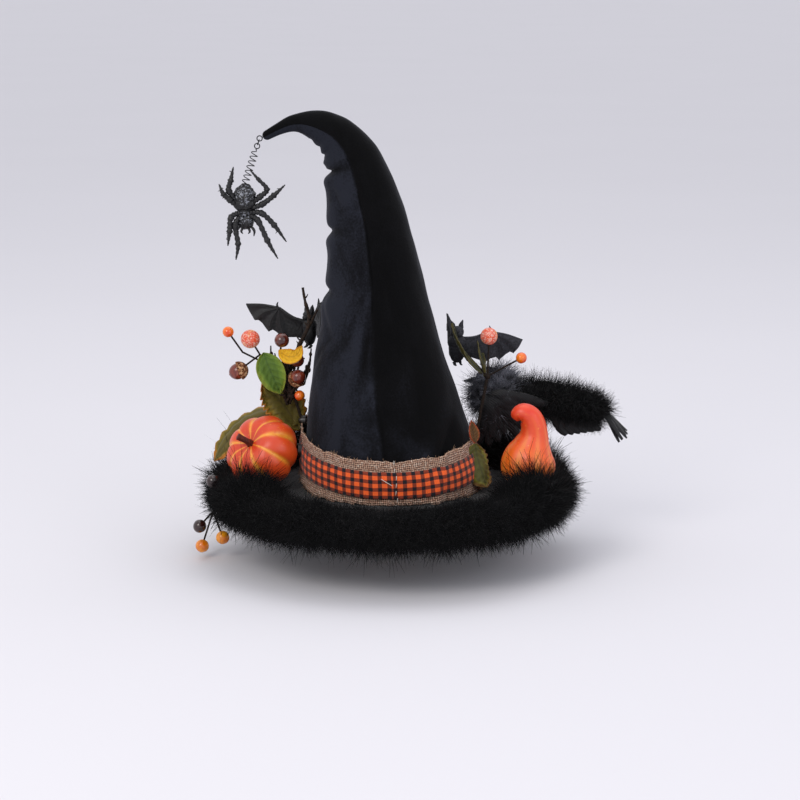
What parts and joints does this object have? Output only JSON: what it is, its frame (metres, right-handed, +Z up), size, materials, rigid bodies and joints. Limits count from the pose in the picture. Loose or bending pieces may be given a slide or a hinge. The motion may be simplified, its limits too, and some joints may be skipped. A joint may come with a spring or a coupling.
{
  "type": "witch hat",
  "caption": "Black velvet cone hat with a bent tip, a spider on a spring, a feather-trimmed brim, burlap and gingham band, bats, a crow and autumn trims.",
  "frame": {"origin": "centre of the head opening, in the plane of the brim's underside", "axes": "+Z up the head opening's axis into the cone, -Y toward the side where the ribbon's ends join, the tip bends toward -X"},
  "size_m": [0.3673, 0.317, 0.3807],
  "materials": {
    "crown_velvet": "pile velvet",
    "crown_lining": "stiffened cloth",
    "crown_plug": "matte",
    "crown_stuffing": "fibre wadding",
    "spine_wire": "dull",
    "brim_top_cover": "felt",
    "brim_board": "matte",
    "brim_bottom_cover": "felt",
    "brim_edge_wire": "dull",
    "sweatband": "grosgrain",
    "boa_cord": "twisted cord",
    "feather_boa": "down",
    "burlap_band": "open weave",
    "gingham_ribbon": "woven check",
    "band_stitches": "thread",
    "mini_pumpkin": "satin",
    "mini_pumpkin_stem": "matte",
    "gourd": "satin",
    "gold_leaves": "printed cloth",
    "green_leaf": "printed cloth",
    "yellow_leaf": "printed cloth",
    "pinched_leaf": "printed cloth",
    "right_leaves": "printed cloth",
    "left_spray_stems": "wrapped",
    "right_spray_stems": "wrapped",
    "orange_berries": "gloss",
    "sugared_berries": "sugared",
    "dark_berries": "gloss",
    "amber_berries": "gloss",
    "hanging_stems": "wrapped",
    "acorn_nuts": "satin",
    "acorn_cups": "rough",
    "twig": "rough",
    "left_bat_body": "matte",
    "left_bat_wings": "matte",
    "right_bat_body": "flocked",
    "right_bat_wings": "flocked",
    "bat_wires": "satin",
    "crow_body": "feathered",
    "crow_beak": "satin",
    "crow_eyes": "gloss",
    "crow_wings": "feather",
    "crow_tail": "feather",
    "crow_legs": "satin",
    "glue_dabs": "waxy",
    "tip_velvet": "pile velvet",
    "tip_stuffing": "fibre wadding",
    "tip_wire": "satin",
    "spider_ring": "blackened",
    "spring_loop": "blackened",
    "spring": "blackened",
    "spider_body": "glittered",
    "spider_legs": "glittered"
  },
  "bodies": {
    "crown": {"crown_velvet": "crown_velvet", "crown_lining": "crown_lining", "crown_plug": "crown_plug", "crown_stuffing": "crown_stuffing", "spine_wire": "spine_wire", "brim_top_cover": "brim_top_cover", "brim_board": "brim_board", "brim_bottom_cover": "brim_bottom_cover", "brim_edge_wire": "brim_edge_wire", "sweatband": "sweatband", "boa_cord": "boa_cord", "feather_boa": "feather_boa", "burlap_band": "burlap_band", "gingham_ribbon": "gingham_ribbon", "band_stitches": "band_stitches", "mini_pumpkin": "mini_pumpkin", "mini_pumpkin_stem": "mini_pumpkin_stem", "gourd": "gourd", "gold_leaves": "gold_leaves", "green_leaf": "green_leaf", "yellow_leaf": "yellow_leaf", "pinched_leaf": "pinched_leaf", "right_leaves": "right_leaves", "left_spray_stems": "left_spray_stems", "right_spray_stems": "right_spray_stems", "orange_berries": "orange_berries", "sugared_berries": "sugared_berries", "dark_berries": "dark_berries", "amber_berries": "amber_berries", "hanging_stems": "hanging_stems", "acorn_nuts": "acorn_nuts", "acorn_cups": "acorn_cups", "twig": "twig", "left_bat_body": "left_bat_body", "left_bat_wings": "left_bat_wings", "right_bat_body": "right_bat_body", "right_bat_wings": "right_bat_wings", "bat_wires": "bat_wires", "crow_body": "crow_body", "crow_beak": "crow_beak", "crow_eyes": "crow_eyes", "crow_wings": "crow_wings", "crow_tail": "crow_tail", "crow_legs": "crow_legs", "glue_dabs": "glue_dabs"},
    "tip": {"tip_velvet": "tip_velvet", "tip_stuffing": "tip_stuffing", "tip_wire": "tip_wire"},
    "jump_ring": {"spider_ring": "spider_ring"},
    "spring_top": {"spring_loop": "spring_loop", "spring": "spring"},
    "spider": {"spider_body": "spider_body", "spider_legs": "spider_legs"}
  },
  "joints": [
    {"name": "tip_bend", "type": "hinge", "parent": "crown", "child": "tip", "pos_m": [-0.03484, 0, 0.29072], "axis": [0, 1, 0], "range_deg": [-12, 25]},
    {"name": "spider_swing", "type": "hinge", "parent": "tip", "child": "jump_ring", "pos_m": [-0.11043, 0, 0.30399], "axis": [0, 1, 0], "range_deg": [-20, 35], "stiffness_Nm_per_rad": 0.004, "springref_deg": 13.75},
    {"name": "spider_sway", "type": "hinge", "parent": "jump_ring", "child": "spring_top", "pos_m": [-0.11151, 0, 0.30079], "axis": [-0.9474, 0, 0.3201], "range_deg": [-30, 30], "stiffness_Nm_per_rad": 0.004},
    {"name": "spider_bounce", "type": "slide", "parent": "spring_top", "child": "spider", "axis": [-0.3201, 0, -0.9474], "range_m": [-0.01, 0.025], "stiffness_N_per_m": 15, "springref_m": -0.0047, "deforming": ["spring"]}
  ]
}
